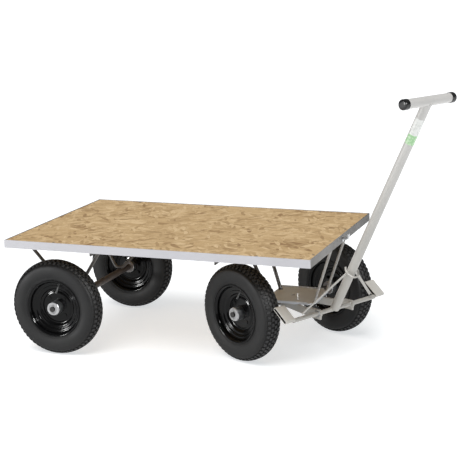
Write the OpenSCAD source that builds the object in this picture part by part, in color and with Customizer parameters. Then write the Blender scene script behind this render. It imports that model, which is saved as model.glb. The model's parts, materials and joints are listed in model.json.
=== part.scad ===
// Four-wheel platform trolley with a turntable front axle, a hinged tow handle that works a pair of
// tyre brakes, an angle-steel frame and a board deck. Millimetres. X points forwards, Y to the left
// and Z up. The origin is on the floor under the middle of the deck.

/* [Deck] */
// Length of the deck over its edge frame
deck_length = 1200; // [1150:10:1300]
// Width of the deck over its edge frame
deck_width = 800; // [760:10:900]
// Height of the frame's top edge above the floor
deck_height = 446; // [440:1:460]
// Thickness of the deck board
board_thickness = 25; // [18:1:25]
// Leg of the edge frame's angle steel
rail_leg = 30; // [30:1:32]
// Thickness of the edge frame's angle steel
rail_thickness = 3; // [3:0.5:4]

/* [Wheels] */
// Radius of the tyre
tyre_radius = 182; // [180:0.5:183]
// Width of the tyre
tyre_width = 82; // [76:1:84]
// Distance between the rear wheels' middle planes
rear_track = 662; // [640:1:670]
// Distance between the front wheels' middle planes
front_track = 500; // [500:1:506]
// Rear axle behind the middle of the deck
rear_axle_back = 425; // [410:1:440]
// Diameter of the axle bars
axle_diameter = 20; // [19:0.5:20]

/* [Steering] */
// Steering axis in front of the middle of the deck
steer_x = 406; // [400:1:410]
// Front axle behind the steering axis
axle_trail = 20; // [20:1:24]
// Steering angle that the model is drawn at, to the left
steer_angle = -26.9; // [-34:0.1:34]
// Diameter of the turning plate
turning_plate_diameter = 150; // [140:1:156]

/* [Handle] */
// Lean of the handle from upright that the model is drawn at
handle_lean = 28.2; // [15:0.1:95]
// Distance from the handle's pivot to its grip
handle_length = 903; // [850:1:950]
// Outside diameter of the handle's tube and of its grip
handle_tube = 33.4; // [32:0.1:34]
// Length of the grip over its end caps
grip_length = 266; // [250:1:300]
// Diameter of the pivot rod
pivot_diameter = 16; // [14:0.5:16]

/* [Hidden] */
$fn = 48;

WHEELS = ["front_left", "front_right", "rear_left", "rear_right"];
WHEEL_PARTS = ["tyre", "outer_rim", "inner_rim", "hub", "bearings", "rim_bolts"];

LEFT = 1;
RIGHT = -1;

// Colours of the finishes
PAINT = [0.80, 0.80, 0.79];
SHADED_PAINT = [0.62, 0.60, 0.58];
ZINC = [0.72, 0.73, 0.74];
BOARD = [0.80, 0.68, 0.50];
RUBBER = [0.10, 0.10, 0.10];
BLACK_GLOSS = [0.05, 0.05, 0.05];
LABEL_GREEN = [0.45, 0.72, 0.42];

// Edge frame: an angle with one leg outside the board and one leg under it
half_length = deck_length / 2;
half_width = deck_width / 2;
rail_bottom = deck_height - rail_leg;
ledge_top = rail_bottom + rail_thickness;
board_gap = 1;

// Cross members: small angles level with the edge frame's lower leg
cross_leg = 16;
cross_x = [-247, 244];
cross_cope = 24;

// Deck screws
screw_diameter = 5;
screw_head_diameter = 10;
screw_head_height = 3;
screw_inset = 15;
end_screw_y = [-310, -100, 100, 310];
side_screw_x = [-400, 0, 400];
screw_places = concat(
    [for (end = [-1, 1], y = end_screw_y) [end * (half_length - screw_inset - 2), y]],
    [for (side = [LEFT, RIGHT], x = side_screw_x) [x, side * (half_width - screw_inset - 2)]]);

// Rods between the frame and the axles
rear_x = -rear_axle_back;
rear_axle_body = 27;
v_rod = 13;
v_bend = 26;
v_foot_z = 183.6;
v_foot_y = 200;
v_front_top = [-228, 345];
v_rear_top = [-583, 267];
front_stay_rod = 10;
rear_stay_rod = 14;
front_stay_top = [585.6, 91.3];
front_stay_foot = [514.4, 82.1];
rear_stay_top = [252.5, 103.7];
rear_stay_foot = [334.3, 63.5];

// Fixed upper plate of the turntable
plate_back = 322;
plate_front = 520;
plate_half_width = 107;
plate_bottom = 196.3;
plate_top = 201;
plate_lip = 5;
plate_lip_thickness = 3;
plate_chamfer = 25;

// Turning head under it
head_top = 196;
head_plate_thickness = 4;
head_block_half_width = 50;
head_block_back = axle_trail + 14;
head_block_front = 16;
head_block_bottom = 170;
running_clearance = 0.05;
running_gap = 0.3;
kingpin_diameter = 16;
kingpin_recess = 2;
kingpin_bottom = 150;

// Drawbar arms: cut from plate, cranked outwards
arm_thickness = 8;
arm_bottom = 168;
arm_back = -38;
arm_top = 203;
disc_bottom = head_top - head_plate_thickness;
arm_rear_top = head_top;
arm_bend_back = 22;
arm_bend_front = 188;
arm_spread = 90;
pivot = [214, 0, 189.2];

// Wheels
axle_z = tyre_radius;
hub_half_length = 38;
hub_radius = 25;
axle_fit = 0.3;
collar_thickness = 3;
washer_thickness = 2.5;
axle_overhang = 8;
bearing_outer = 47;
bearing_width = 14;
bearing_inset = 1;
sheet = 2.2;
bead_seat = 101.6;
washer_radius = 24;
bolt_circle = 44;
bolt_count = 4;

// End caps of the grip
cap_length = 23;
cap_wall = 4;

// Brake shoes
shoe_width = 45;
shoe_length = 76;
shoe_depth = 15;
shoe_wall = 3.5;
shoe_angle = 38;
shoe_center = [194, 213];
rod_half_length = 217;

// Catch ring round the handle
ring_height = 179.5;
ring_radius = 27;
ring_rod = 7;
ring_tilt = 17;

// Braces of the handle
brace_width = 10;
brace_thickness = 3.2;
brace_foot = [190, 15];
brace_head = [20, 176];

// ---------------------------------------------------------------- helpers

function unit(v) = v / norm(v);
function side_of(name) = name == "front_left" || name == "rear_left" ? LEFT : RIGHT;
function is_front(name) = name == "front_left" || name == "front_right";

// Angles for rotate() that turn the X, Y and Z axes onto three unit vectors
function frame_angles(ex, ey, ez) = [atan2(ey.z, ez.z), -asin(ex.z), atan2(ex.y, ex.x)];

// Outline of a strip of the given thickness along a list of 2D points
function strip_normal(p, i) =
    let (before = i > 0 ? unit(p[i] - p[i - 1]) : unit(p[1] - p[0]),
         after = i < len(p) - 1 ? unit(p[i + 1] - p[i]) : before,
         mean = unit(before + after))
    [-mean.y, mean.x] / max(0.5, mean * after);
function strip(p, thickness) = concat(
    [for (i = [0 : len(p) - 1]) p[i] + strip_normal(p, i) * thickness / 2],
    [for (i = [len(p) - 1 : -1 : 0]) p[i] - strip_normal(p, i) * thickness / 2]);

// Straight round rod between two points
module rod(from, to, diameter) {
    v = to - from;
    translate(from)
        rotate(a = acos(v.z / norm(v)), v = [-v.y, v.x, 0])
            cylinder(d = diameter, h = norm(v), $fn = 32);
}

// Round rod that comes from one point, bends near a corner and goes on to another point
module bent_rod(from, corner, to, diameter, bend) {
    u = unit(from - corner);
    v = unit(to - corner);
    half = acos(u * v) / 2;
    tangent = bend / tan(half);
    middle = unit(u + v);
    center = corner + middle * bend / sin(half);
    start = unit(corner + u * tangent - center);
    normal = unit(cross(v, u));
    rod(from, corner + u * tangent, diameter);
    rod(corner + v * tangent, to, diameter);
    for (joint = [u, v])
        translate(corner + joint * tangent)
            sphere(d = diameter + 0.1, $fn = 48);
    translate(center)
        rotate(frame_angles(start, cross(normal, start), normal))
            rotate_extrude(angle = 180 - 2 * half, $fn = 64)
                translate([bend, 0])
                    circle(d = diameter, $fn = 32);
}

// Keeps what lies between two heights
module between(low, high) {
    reach = deck_length;
    difference() {
        children();
        translate([-reach, -reach, low - 100])
            cube([2 * reach, 2 * reach, 100]);
        translate([-reach, -reach, high])
            cube([2 * reach, 2 * reach, 100]);
    }
}

// Everything that turns with the front axle is drawn straight ahead and then turned
module steered() {
    translate([steer_x, 0, 0])
        rotate([0, 0, steer_angle])
            children();
}

// The handle's own frame: Z runs up the shaft from the pivot, Y along the pivot rod
module on_handle() {
    steered()
        translate(pivot)
            rotate([0, handle_lean, 0])
                children();
}

// A wheel's own frame: Y points outwards along the axle from the middle of the tyre
module at_wheel(name) {
    side = side_of(name);
    if (is_front(name)) {
        steered() translate([-axle_trail, side * front_track / 2, axle_z]) facing(side) children();
    } else {
        translate([rear_x, side * rear_track / 2, axle_z]) facing(side) children();
    }
}

module facing(side) {
    mirror([0, side == LEFT ? 0 : 1, 0])
        children();
}

// Turns a profile of [radius, distance along the axle] about the axle
module turned(points) {
    rotate([-90, 0, 0])
        rotate_extrude($fn = 96)
            polygon(points);
}

module along_axle(from, to, radius, facets = 64) {
    translate([0, from, 0])
        rotate([-90, 0, 0])
            cylinder(r = radius, h = to - from, $fn = facets);
}

// ---------------------------------------------------------------- deck and frame

module screw_holes(diameter) {
    for (place = screw_places)
        translate([place.x, place.y, rail_bottom - 1])
            cylinder(d = diameter, h = rail_leg + 2, $fn = 24);
}

module deck_board() {
    board_top = ledge_top + board_thickness;
    countersink = screw_head_diameter + 0.4;
    color(BOARD)
        difference() {
            translate([-half_length + rail_thickness + board_gap, -half_width + rail_thickness + board_gap,
                       ledge_top])
                cube([deck_length - 2 * (rail_thickness + board_gap),
                      deck_width - 2 * (rail_thickness + board_gap), board_thickness]);
            screw_holes(screw_diameter + 0.4);
            for (place = screw_places)
                translate([place.x, place.y, board_top - screw_head_height - 0.5])
                    cylinder(d1 = screw_diameter + 0.4, d2 = countersink, h = screw_head_height + 0.5,
                             $fn = 24);
        }
}

module side_rail(side) {
    color(PAINT)
        difference() {
            facing(side) {
                translate([-half_length, half_width - rail_thickness, rail_bottom])
                    cube([deck_length, rail_thickness, rail_leg]);
                translate([-half_length + rail_thickness, half_width - rail_leg, rail_bottom])
                    cube([deck_length - 2 * rail_thickness, rail_leg - rail_thickness, rail_thickness]);
            }
            screw_holes(screw_diameter + 0.2);
        }
}

module end_rail(end) {
    inner_width = deck_width - 2 * rail_thickness;
    ledge_width = deck_width - 2 * rail_leg;
    color(PAINT)
        difference() {
            mirror([end == 1 ? 0 : 1, 0, 0]) {
                translate([half_length - rail_thickness, -inner_width / 2, rail_bottom])
                    cube([rail_thickness, inner_width, rail_leg]);
                translate([half_length - rail_leg, -ledge_width / 2, rail_bottom])
                    cube([rail_leg - rail_thickness, ledge_width, rail_thickness]);
            }
            screw_holes(screw_diameter + 0.2);
        }
}

module left_rail() {
    side_rail(LEFT);
}

module right_rail() {
    side_rail(RIGHT);
}

module front_rail() {
    end_rail(1);
}

module rear_rail() {
    end_rail(-1);
}

// The upright leg of each angle is coped so that it runs on under the side rails
module cross_members() {
    inner_half = half_width - rail_leg;
    drop = cross_leg - rail_thickness;
    color(SHADED_PAINT)
        for (x = cross_x) {
            translate([x, -inner_half, rail_bottom])
                cube([cross_leg, 2 * inner_half, rail_thickness]);
            translate([x, -inner_half - cross_cope, rail_bottom - drop])
                cube([rail_thickness, 2 * (inner_half + cross_cope), drop]);
        }
}

module deck_screws() {
    board_top = ledge_top + board_thickness;
    tip = rail_bottom - 4;
    color(ZINC)
        for (place = screw_places)
            translate([place.x, place.y, 0]) {
                translate([0, 0, tip])
                    cylinder(d = screw_diameter, h = board_top - tip - 1, $fn = 24);
                translate([0, 0, board_top - screw_head_height - 0.2])
                    cylinder(d1 = screw_diameter, d2 = screw_head_diameter, h = screw_head_height, $fn = 24);
            }
}

// Hook on the front rail that the handle's ring is dropped over
module latch_hook() {
    hook = [[2, -18], [2, -6], [20, -6], [24, -2], [24, 12]];
    width = 16;
    color(ZINC)
        translate([half_length, width / 2, deck_height - 8])
            rotate([90, 0, 0])
                linear_extrude(width)
                    polygon(strip(hook, 4));
}

// ---------------------------------------------------------------- rear axle

// One rod bent to a V: it stands on the axle and its ends are welded under the frame
module v_stay(side) {
    foot = [rear_x - 1.7, side * v_foot_y, v_foot_z];
    front_top = [v_front_top.x, side * v_front_top.y, rail_bottom];
    rear_top = [v_rear_top.x, side * v_rear_top.y, rail_bottom];
    color(SHADED_PAINT)
        difference() {
            between(0, rail_bottom)
                bent_rod(rear_top + 0.1 * (rear_top - foot), foot, front_top + 0.1 * (front_top - foot),
                         v_rod, v_bend);
            translate([rear_x, 0, axle_z])
                along_axle(-half_width, half_width, rear_axle_body / 2);
            translate([cross_x[0] - 50, side * v_front_top.y - 50, rail_bottom - cross_leg + rail_thickness])
                cube([50 + rail_thickness, 100, cross_leg]);
        }
}

module left_v_stay() {
    v_stay(LEFT);
}

module right_v_stay() {
    v_stay(RIGHT);
}

function axle_half(track) = track / 2 + hub_half_length + washer_thickness + axle_overhang;

module axle_bar(track, body) {
    half = axle_half(track);
    body_half = track / 2 - hub_half_length - axle_fit - collar_thickness;
    pin_place = track / 2 + hub_half_length + axle_fit + washer_thickness + 2.5;
    color(SHADED_PAINT)
        difference() {
            union() {
                along_axle(-half, half, axle_diameter / 2);
                if (body > axle_diameter)
                    along_axle(-body_half, body_half, body / 2);
            }
            for (side = [LEFT, RIGHT])
                translate([0, side * pin_place, -axle_diameter])
                    cylinder(d = 4, h = 2 * axle_diameter, $fn = 24);
        }
}

// Inner collars, outer washers and cotter pins that hold a pair of wheels on its axle
module axle_fasteners(track) {
    inner = track / 2 - hub_half_length - axle_fit;
    outer = track / 2 + hub_half_length + axle_fit;
    pin_place = outer + washer_thickness + 2.5;
    color(ZINC)
        for (side = [LEFT, RIGHT])
            facing(side) {
                difference() {
                    union() {
                        along_axle(inner - collar_thickness, inner, washer_radius);
                        along_axle(outer, outer + washer_thickness, washer_radius);
                    }
                    along_axle(inner - 10, outer + 10, axle_diameter / 2);
                }
                translate([0, pin_place, -16])
                    cylinder(d = 4, h = 32, $fn = 24);
                translate([0, pin_place, 18])
                    rotate([0, 90, 0])
                        rotate_extrude($fn = 48)
                            translate([4, 0])
                                circle(d = 3, $fn = 16);
            }
}

module rear_axle() {
    translate([rear_x, 0, axle_z]) axle_bar(rear_track, rear_axle_body);
}

module rear_axle_fasteners() {
    translate([rear_x, 0, axle_z]) axle_fasteners(rear_track);
}

// ---------------------------------------------------------------- turntable

module turntable_stay(top, foot, side, diameter) {
    high = [top.x, side * top.y, rail_bottom];
    low = [foot.x, side * foot.y, plate_top];
    over = 0.1 * (high - low);
    color(SHADED_PAINT)
        difference() {
            between(plate_top, rail_bottom)
                rod(low - over, high + over, diameter);
            translate([cross_x[1] - 50, side * top.y - 50, rail_bottom - cross_leg + rail_thickness])
                cube([50 + rail_thickness, 100, cross_leg]);
        }
}

module front_left_stay() {
    turntable_stay(front_stay_top, front_stay_foot, LEFT, front_stay_rod);
}

module front_right_stay() {
    turntable_stay(front_stay_top, front_stay_foot, RIGHT, front_stay_rod);
}

module rear_left_stay() {
    turntable_stay(rear_stay_top, rear_stay_foot, LEFT, rear_stay_rod);
}

module rear_right_stay() {
    turntable_stay(rear_stay_top, rear_stay_foot, RIGHT, rear_stay_rod);
}

module upper_turntable_plate() {
    lip_front = plate_front - plate_chamfer;
    nose_half = plate_half_width - plate_chamfer;
    outline = [[plate_back, -plate_half_width], [lip_front, -plate_half_width],
               [plate_front, -nose_half], [plate_front, nose_half],
               [lip_front, plate_half_width], [plate_back, plate_half_width]];
    color(SHADED_PAINT)
        difference() {
            union() {
                translate([0, 0, plate_bottom])
                    linear_extrude(plate_top - plate_bottom)
                        polygon(outline);
                for (side = [LEFT, RIGHT])
                    facing(side)
                        translate([plate_back, plate_half_width - plate_lip_thickness, plate_bottom])
                            cube([lip_front - plate_back, plate_lip_thickness,
                                  plate_top - plate_bottom + plate_lip]);
            }
            translate([steer_x, 0, plate_bottom - 1])
                cylinder(d = kingpin_diameter, h = 20);
        }
}

// The pin is welded in the upper plate
module kingpin() {
    color(ZINC)
        translate([steer_x, 0, kingpin_bottom])
            cylinder(d = kingpin_diameter, h = plate_top - kingpin_recess - kingpin_bottom);
}

// Nut and washer on the pin, which hold the turning head up
module kingpin_nut() {
    washer = 3;
    nut = 13;
    bottom = head_block_bottom - running_gap - washer - nut;
    color(ZINC)
        translate([steer_x, 0, bottom])
            difference() {
                union() {
                    cylinder(d = 27.7, h = nut, $fn = 6);
                    translate([0, 0, nut])
                        cylinder(d = 32, h = washer);
                }
                translate([0, 0, -1])
                    cylinder(d = kingpin_diameter, h = nut + washer + 2);
            }
}

module grease_nipple() {
    color(ZINC)
        translate([438, -51, plate_top]) {
            cylinder(d = 12, h = 7, $fn = 6);
            cylinder(d = 8, h = 16);
            translate([0, 0, 14])
                cylinder(d1 = 8, d2 = 11, h = 3);
            translate([0, 0, 17])
                cylinder(d = 11, h = 5);
        }
}

// Plate that turns under the upper plate, on a block that carries the axle and the kingpin
module steering_head() {
    color(SHADED_PAINT)
        steered()
            difference() {
                union() {
                    translate([0, 0, disc_bottom])
                        cylinder(d = turning_plate_diameter, h = head_plate_thickness, $fn = 96);
                    translate([-head_block_back, -head_block_half_width, head_block_bottom])
                        cube([head_block_back + head_block_front, 2 * head_block_half_width,
                              disc_bottom - head_block_bottom]);
                }
                translate([0, 0, head_block_bottom - 1])
                    cylinder(d = kingpin_diameter + 2 * running_clearance, h = 40);
                translate([-axle_trail, 0, axle_z])
                    along_axle(-head_block_half_width - 1, head_block_half_width + 1, axle_diameter / 2);
            }
}

module front_axle() {
    steered() translate([-axle_trail, 0, axle_z]) axle_bar(front_track, axle_diameter);
}

module front_axle_fasteners() {
    steered() translate([-axle_trail, 0, axle_z]) axle_fasteners(front_track);
}

// Seen from above the arm is cranked; seen from the side it has a raised front and a round nose
module drawbar_arm(side) {
    center_back = head_block_half_width + arm_thickness / 2;
    center_front = arm_spread - arm_thickness / 2;
    nose = 17;
    notch = axle_diameter / 2 - 0.1;
    plan = [[arm_back, center_back], [arm_bend_back, center_back], [arm_bend_front, center_front],
            [pivot.x + nose + 8, center_front]];
    profile = concat(
        [[arm_back, arm_bottom], [pivot.x - 6, arm_bottom], [pivot.x + 12, arm_bottom - 1]],
        [for (a = [-40 : 20 : 60]) [pivot.x + nose * cos(a), pivot.z + nose * sin(a)]],
        [[pivot.x - 12, arm_top], [160, arm_top], [148, arm_rear_top], [arm_back, arm_rear_top]]);
    color(PAINT)
        steered()
            facing(side)
                difference() {
                    intersection() {
                        translate([0, 0, arm_bottom - 10])
                            linear_extrude(60)
                                polygon(strip(plan, arm_thickness));
                        translate([0, 150, 0])
                            rotate([90, 0, 0])
                                linear_extrude(150)
                                    polygon(profile);
                    }
                    translate(pivot)
                        along_axle(0, 150, pivot_diameter / 2 + running_clearance);
                    translate([-axle_trail, 0, axle_z])
                        along_axle(0, 150, axle_diameter / 2);
                    translate([-axle_trail - notch, 0, axle_z])
                        cube([2 * notch, 150, 30]);
                    translate([0, 0, disc_bottom])
                        cylinder(d = turning_plate_diameter, h = 10, $fn = 96);
                }
}

module left_drawbar_arm() {
    drawbar_arm(LEFT);
}

module right_drawbar_arm() {
    drawbar_arm(RIGHT);
}

// ---------------------------------------------------------------- handle

module handle_shaft() {
    wall = 2.65;
    color(PAINT)
        on_handle()
            difference() {
                cylinder(d = handle_tube, h = handle_length, $fn = 64);
                translate([0, 0, -1])
                    cylinder(d = handle_tube - 2 * wall, h = handle_length + 2, $fn = 64);
                along_axle(-50, 50, pivot_diameter / 2);
                translate([0, 0, handle_length])
                    along_axle(-50, 50, handle_tube / 2);
            }
}

module grip_tube() {
    half = grip_length / 2 - cap_wall;
    color(PAINT)
        on_handle()
            translate([0, 0, handle_length])
                difference() {
                    along_axle(-half, half, handle_tube / 2);
                    along_axle(-half - 1, half + 1, handle_tube / 2 - 2.65);
                }
}

module grip_end_caps() {
    end = grip_length / 2;
    tube = handle_tube / 2;
    outer = tube + 1.6;
    color(BLACK_GLOSS)
        on_handle()
            translate([0, 0, handle_length])
                for (side = [LEFT, RIGHT])
                    facing(side)
                        turned([[tube, end - cap_length], [outer, end - cap_length], [outer, end - 6],
                                [outer - 1, end - 3], [outer - 4, end - 1], [outer - 9, end], [0, end],
                                [0, end - cap_wall], [tube, end - cap_wall]]);
}

module pivot_rod() {
    color(PAINT)
        on_handle()
            along_axle(-rod_half_length, rod_half_length, pivot_diameter / 2);
}

module pivot_washers() {
    color(ZINC)
        on_handle()
            for (side = [LEFT, RIGHT])
                facing(side)
                    difference() {
                        along_axle(arm_spread + 0.5, arm_spread + 2.5, 13);
                        along_axle(arm_spread, arm_spread + 3, pivot_diameter / 2);
                    }
}

module brace(side) {
    line = [brace_foot - [8, -8], brace_head + [-8, 8]];
    color(PAINT)
        on_handle()
            facing(side)
                difference() {
                    translate([brace_thickness / 2, 0, 0])
                        rotate([90, 0, -90])
                            linear_extrude(brace_thickness)
                                mirror([1, 0])
                                    polygon(strip(line, brace_width));
                    along_axle(0, 250, pivot_diameter / 2);
                    cylinder(d = handle_tube, h = 400, $fn = 64);
                    ring_bar(360);
                }
}

module left_brace() {
    brace(LEFT);
}

module right_brace() {
    brace(RIGHT);
}

// Open ring of round rod round the front of the shaft, dipping towards the front
module catch_ring() {
    color(PAINT)
        on_handle()
            ring_bar(235);
}

module ring_bar(angle) {
    translate([2, 0, ring_height])
        rotate([0, ring_tilt, 0])
            rotate([0, 0, -140])
                rotate_extrude(angle = angle, $fn = 72)
                    translate([ring_radius, 0])
                        circle(d = ring_rod, $fn = 24);
}

module rounded_bar(length, depth) {
    straight = length - depth;
    square([straight, depth], center = true);
    for (end = [-1, 1])
        translate([end * straight / 2, 0])
            circle(d = depth, $fn = 32);
}

// Flattened tube welded across the end of the pivot rod; it presses on the tyre as the handle rises
module brake_shoe(side) {
    slot = shoe_depth - 2 * shoe_wall;
    color(PAINT)
        steered()
            facing(side)
                translate([shoe_center.x, rod_half_length + shoe_width, shoe_center.y])
                    rotate([90, 0, 0])
                        linear_extrude(shoe_width)
                            rotate(-shoe_angle)
                                difference() {
                                    rounded_bar(shoe_length, shoe_depth);
                                    rounded_bar(shoe_length - 2 * shoe_wall, slot);
                                }
}

module left_brake_shoe() {
    brake_shoe(LEFT);
}

module right_brake_shoe() {
    brake_shoe(RIGHT);
}

module handle_label() {
    color(LABEL_GREEN)
        on_handle()
            translate([0, 0, 736])
                rotate([0, 0, -115])
                    rotate_extrude(angle = 200, $fn = 64)
                        translate([handle_tube / 2 + 0.05, 0])
                            square([0.35, 101]);
}

// ---------------------------------------------------------------- wheels

module tyre() {
    half = tyre_width / 2;
    widest = tyre_radius - 41;
    wall = 8;
    bead = bead_seat + 4;
    function lower(r, out) = out - 9 * pow((widest - r) / 35, 2);
    function arc(t, radial, across) = [widest + radial * pow(sin(t), 0.8), across * pow(cos(t), 0.8)];
    outer = concat(
        [[bead_seat, 28.5]],
        [for (r = [bead : 8 : widest - 1]) [r, lower(r, half)]],
        [for (t = [0 : 9 : 90]) arc(t, tyre_radius - widest, half)]);
    inner = concat(
        [for (t = [90 : -10 : 0]) arc(t, tyre_radius - widest - wall - 2, half - wall)],
        [for (r = [widest - 8 : -8 : bead + 4]) [r, lower(r, half - wall)]],
        [[bead_seat, 22]]);
    section = concat(outer, [for (i = [len(outer) - 2 : -1 : 0]) [outer[i].x, -outer[i].y]],
                     [for (i = [len(inner) - 1 : -1 : 0]) [inner[i].x, -inner[i].y]],
                     [for (i = [1 : len(inner) - 1]) inner[i]]);
    color(RUBBER)
        turned(section);
}

// Pressed steel half: rolled flange, bead seat, two steps and a flat middle bolted to the other half
module rim_half() {
    face = sheet / 2 + 0.15;
    band = [[110, 36.5], [106.5, 36.8], [103.5, 34], [100.5, 30], [100.5, 21], [97, 17], [88, 15.5],
            [84, 11], [74, 9.5], [70, 4], [65, face], [hub_radius + 0.1, face]];
    color(BLACK_GLOSS)
        difference() {
            turned(strip(band, sheet));
            bolt_places() cylinder(d = 8.4, h = 40, center = true);
        }
}

module bolt_places() {
    for (i = [0 : bolt_count - 1])
        rotate([0, 45 + i * 360 / bolt_count, 0])
            translate([bolt_circle, 0, 0])
                rotate([-90, 0, 0])
                    children();
}

module outer_rim() {
    rim_half();
}

module inner_rim() {
    mirror([0, 1, 0]) rim_half();
}

// Barrel with a seat for a bearing at each end and a flange that the rim halves are bolted to
module hub() {
    seat = hub_half_length - bearing_inset - bearing_width;
    flange_top = -sheet - 0.15;
    color(ZINC)
        difference() {
            union() {
                along_axle(-hub_half_length, hub_half_length, hub_radius);
                along_axle(flange_top - 4, flange_top, 58);
            }
            along_axle(-hub_half_length - 1, hub_half_length + 1, 15);
            along_axle(seat, hub_half_length + 1, bearing_outer / 2);
            along_axle(-hub_half_length - 1, -seat, bearing_outer / 2);
            bolt_places() cylinder(d = 8.4, h = 40, center = true);
        }
}

module bearings() {
    outer_face = hub_half_length - bearing_inset;
    color(ZINC)
        for (side = [LEFT, RIGHT])
            facing(side)
                difference() {
                    along_axle(outer_face - bearing_width, outer_face, bearing_outer / 2);
                    along_axle(0, 60, axle_diameter / 2 + running_clearance);
                }
}

module rim_bolts() {
    head = 2.35;
    nut = -6.5;
    color(ZINC)
        bolt_places() {
            translate([0, 0, nut - 9])
                cylinder(d = 8, h = head - nut + 9, $fn = 32);
            translate([0, 0, head + 0.15])
                cylinder(d = 15, h = 5.3, $fn = 6);
            translate([0, 0, nut - 6.5])
                cylinder(d = 15, h = 6.4, $fn = 6);
        }
}

// ---------------------------------------------------------------- nodes

deck_board();
front_rail();
rear_rail();
left_rail();
right_rail();
cross_members();
deck_screws();
latch_hook();
left_v_stay();
right_v_stay();
rear_axle();
rear_axle_fasteners();
front_left_stay();
front_right_stay();
rear_left_stay();
rear_right_stay();
upper_turntable_plate();
kingpin();
kingpin_nut();
grease_nipple();
steering_head();
front_axle();
front_axle_fasteners();
left_drawbar_arm();
right_drawbar_arm();
handle_shaft();
grip_tube();
grip_end_caps();
pivot_rod();
pivot_washers();
left_brace();
right_brace();
catch_ring();
left_brake_shoe();
right_brake_shoe();
handle_label();

for (wheel = WHEELS) {
    at_wheel(wheel) tyre();
    at_wheel(wheel) outer_rim();
    at_wheel(wheel) inner_rim();
    at_wheel(wheel) hub();
    at_wheel(wheel) bearings();
    at_wheel(wheel) rim_bolts();
}
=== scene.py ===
import json
import math
import random

import bmesh
import bpy
from mathutils import Matrix, Vector


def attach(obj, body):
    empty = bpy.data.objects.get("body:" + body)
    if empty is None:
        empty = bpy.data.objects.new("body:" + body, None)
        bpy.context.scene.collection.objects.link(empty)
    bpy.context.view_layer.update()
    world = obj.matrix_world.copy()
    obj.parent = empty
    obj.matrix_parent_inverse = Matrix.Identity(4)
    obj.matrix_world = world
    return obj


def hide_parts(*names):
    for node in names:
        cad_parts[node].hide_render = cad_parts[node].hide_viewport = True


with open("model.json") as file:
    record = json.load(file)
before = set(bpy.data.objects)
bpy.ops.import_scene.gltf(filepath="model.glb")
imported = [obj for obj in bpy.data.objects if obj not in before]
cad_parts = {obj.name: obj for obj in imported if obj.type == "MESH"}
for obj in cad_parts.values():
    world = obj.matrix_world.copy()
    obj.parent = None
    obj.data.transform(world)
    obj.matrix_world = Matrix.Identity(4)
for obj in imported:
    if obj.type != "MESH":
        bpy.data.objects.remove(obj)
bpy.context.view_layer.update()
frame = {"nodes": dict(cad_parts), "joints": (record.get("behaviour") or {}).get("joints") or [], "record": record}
NODES = frame["nodes"]
JOINTS = {j["name"]: j for j in frame["joints"]}
SLOT = {s["node"]: s["material_slot"] for s in frame["record"]["subparts"]}
WHEELS = ("front_left", "front_right", "rear_left", "rear_right")

# ------------------------------------------------------------------ camera and light

scene = bpy.context.scene
YAW, PITCH, ROLL = math.radians(21.07), math.radians(-12.69), math.radians(-1.46)
CAMERA_PLACE = Vector((1.8447, -4.38603, 1.49731))
LENS, SENSOR = 98.45, 36.0
AMBIENT = 0.2
forward = Vector((-math.sin(YAW) * math.cos(PITCH), math.cos(YAW) * math.cos(PITCH), math.sin(PITCH)))
level = Vector((math.cos(YAW), math.sin(YAW), 0))
above = level.cross(forward)
right = math.cos(ROLL) * level + math.sin(ROLL) * above
up = -math.sin(ROLL) * level + math.cos(ROLL) * above
cam_data = bpy.data.cameras.new("camera")
cam_data.lens = LENS
cam_data.sensor_width = SENSOR
cam_data.clip_end = 60.0
camera = bpy.data.objects.new("camera", cam_data)
scene.collection.objects.link(camera)
turn = Matrix((right, up, -forward)).transposed().to_4x4()
camera.matrix_world = Matrix.Translation(CAMERA_PLACE) @ turn
scene.camera = camera

scene.view_settings.view_transform = "Standard"
scene.view_settings.look = "None"

world = bpy.data.worlds.new("world")
scene.world = world
world.use_nodes = True
backdrop = world.node_tree.nodes["Background"]
backdrop.inputs["Color"].default_value = (1.0, 1.0, 1.0, 1.0)
# White behind the floor's far edge, while the light from all round stays weak.
seen = world.node_tree.nodes.new("ShaderNodeLightPath")
strength = world.node_tree.nodes.new("ShaderNodeMapRange")
strength.inputs["To Min"].default_value = AMBIENT
strength.inputs["To Max"].default_value = 1.0
world.node_tree.links.new(seen.outputs["Is Camera Ray"], strength.inputs["Value"])
world.node_tree.links.new(strength.outputs["Result"], backdrop.inputs["Strength"])


def glint_light(name, place, target, side, power):
    """A square lamp that only shows as a highlight on glossy paint and metal."""
    data = bpy.data.lights.new(name, "AREA")
    data.shape = "RECTANGLE"
    data.size, data.size_y = side, side
    data.energy = power
    light = bpy.data.objects.new(name, data)
    scene.collection.objects.link(light)
    light.location = place
    light.rotation_euler = (Vector(target) - Vector(place)).to_track_quat("-Z", "Y").to_euler()
    light.visible_diffuse = False


glint_light("front_glint", (3.6, -2.9, 3.0), (-0.1, -0.3, 0.2), 0.7, 210)
glint_light("left_glint", (-3.4, -3.6, 0.9), (0.0, -0.3, 0.2), 0.7, 210)
glint_light("right_glint", (3.9, -1.6, 2.4), (0.2, -0.3, 0.2), 0.6, 190)

sun_data = bpy.data.lights.new("key", "SUN")
sun_data.energy = 3.1
sun_data.angle = math.radians(48.0)
sun = bpy.data.objects.new("key", sun_data)
scene.collection.objects.link(sun)
sun.rotation_euler = Vector((0.04, 0.44, -0.88)).to_track_quat("-Z", "Y").to_euler()
sun.visible_glossy = False

# ------------------------------------------------------------------ material helpers


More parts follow.
